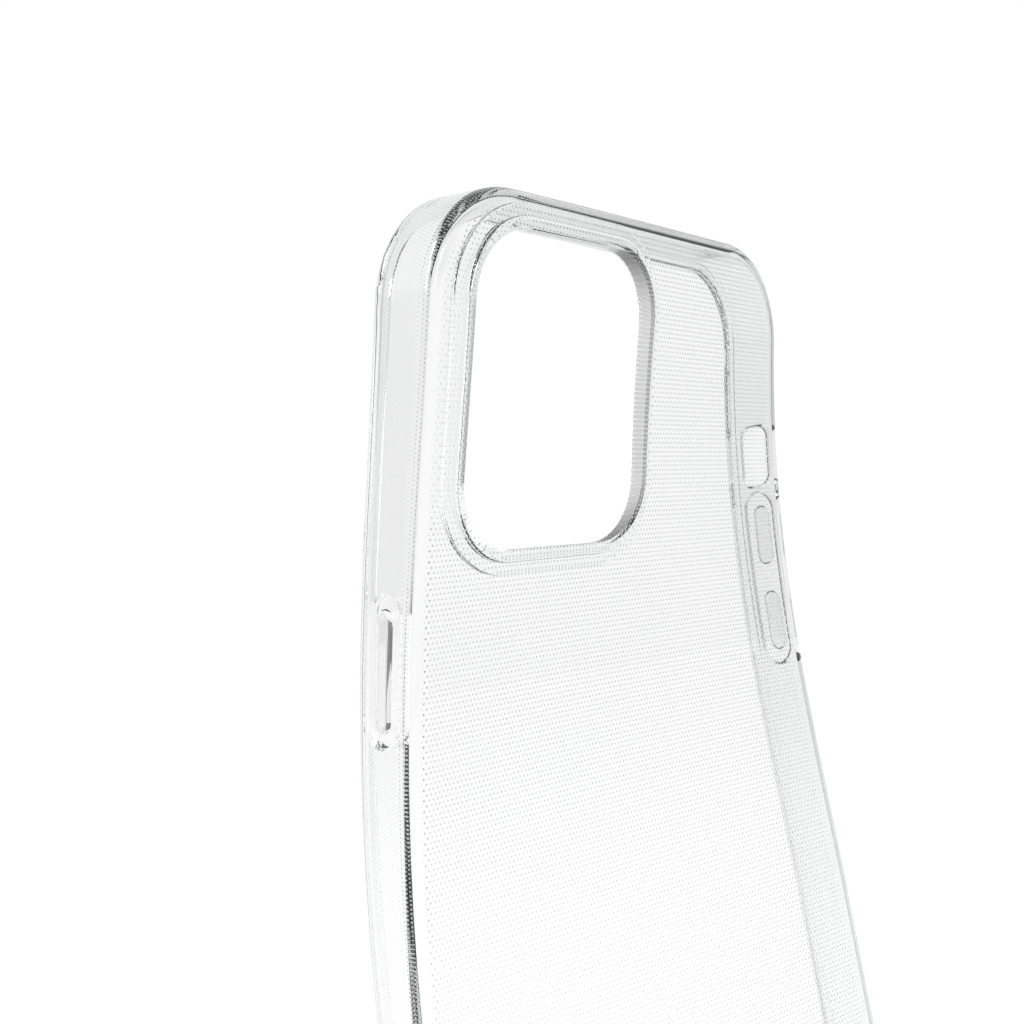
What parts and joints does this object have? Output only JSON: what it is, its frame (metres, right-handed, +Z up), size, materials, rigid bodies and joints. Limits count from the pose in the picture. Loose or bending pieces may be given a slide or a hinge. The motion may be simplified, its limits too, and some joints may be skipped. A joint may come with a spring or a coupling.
{
  "type": "phone case",
  "caption": "Clear flexible phone case with a camera window, raised bezel, pressable button pads, mute switch and port openings, shown bent back while being peeled off.",
  "frame": {"origin": "on the inner back face, on the centre line, at the inside of the bottom wall", "axes": "+Z up the length of the case towards the camera end, +Y from the back towards the open screen side, +X towards the mute switch side"},
  "size_m": [0.0773, 0.0356, 0.1524],
  "materials": {
    "back_tpu": "clear flexible moulded TPU, polished outside, fine raised dots inside",
    "wall_tpu": "clear flexible moulded TPU, polished, fine raised dots inside",
    "rim_tpu": "clear flexible moulded TPU, polished",
    "button_tpu": "clear flexible moulded TPU, polished"
  },
  "bodies": {
    "lower_zone": {"lower_back": "back_tpu", "left_wall_lower": "wall_tpu", "right_wall_lower": "wall_tpu", "bottom_wall": "wall_tpu", "corner_bottom_left": "wall_tpu", "corner_bottom_right": "wall_tpu", "screen_lip_lower": "rim_tpu"},
    "strip_down": {"back_strip_down": "back_tpu", "left_wall_strip_down": "wall_tpu", "right_wall_strip_down": "wall_tpu", "lip_strip_down": "rim_tpu", "volume_down_web": "button_tpu"},
    "strip_up": {"back_strip_up": "back_tpu", "left_wall_strip_up": "wall_tpu", "right_wall_strip_up": "wall_tpu", "lip_strip_up": "rim_tpu", "volume_up_web": "button_tpu"},
    "camera_zone": {"upper_back": "back_tpu", "left_wall_upper": "wall_tpu", "right_wall_upper": "wall_tpu", "top_wall": "wall_tpu", "corner_top_right": "wall_tpu", "screen_lip_upper": "rim_tpu", "camera_bezel": "rim_tpu", "camera_bezel_foot": "rim_tpu", "power_web": "button_tpu"},
    "peeled_corner": {"corner_top_left": "wall_tpu", "lip_corner": "rim_tpu"},
    "power_pad": {"power_button": "button_tpu"},
    "volume_up_pad": {"volume_up_button": "button_tpu"},
    "volume_down_pad": {"volume_down_button": "button_tpu"}
  },
  "joints": [
    {"name": "flex", "type": "hinge", "parent": "lower_zone", "child": "peeled_corner", "pos_m": [0.03749, -0.0011, 0.09674], "axis": [0.8131, 0, 0.5821], "range_deg": [-18.2, 4], "stiffness_Nm_per_rad": 0.3, "springref_deg": -18.2},
    {"name": "strip_down_bend", "type": "hinge", "parent": "lower_zone", "child": "strip_down", "pos_m": [0.03734, -0.00111, 0.09695], "axis": [0.8131, 0, 0.5821], "range_deg": [-4, 1]},
    {"name": "strip_up_bend", "type": "hinge", "parent": "lower_zone", "child": "strip_up", "pos_m": [0.03584, -0.00125, 0.09904], "axis": [0.8131, 0, 0.5821], "range_deg": [-10.7, 2.7]},
    {"name": "camera_zone_bend", "type": "hinge", "parent": "lower_zone", "child": "camera_zone", "pos_m": [0.02617, -0.0036, 0.11255], "axis": [0.8131, 0, 0.5821], "range_deg": [-31, 7.9]},
    {"name": "power_press", "type": "slide", "parent": "camera_zone", "child": "power_pad", "axis": [0.971, 0.2356, 0.0405], "range_m": [0, 0.00035], "stiffness_N_per_m": 800},
    {"name": "volume_up_press", "type": "slide", "parent": "strip_up", "child": "volume_up_pad", "axis": [-0.9965, -0.0831, -0.0048], "range_m": [0, 0.00035], "stiffness_N_per_m": 800},
    {"name": "volume_down_press", "type": "slide", "parent": "strip_down", "child": "volume_down_pad", "axis": [-0.9995, -0.0313, -0.0007], "range_m": [0, 0.00035], "stiffness_N_per_m": 800}
  ],
  "couplings": [
    {"joint": "strip_down_bend", "follows": "flex", "ratio": 0.16916},
    {"joint": "strip_up_bend", "follows": "flex", "ratio": 0.45104},
    {"joint": "camera_zone_bend", "follows": "flex", "ratio": 1.3119}
  ]
}
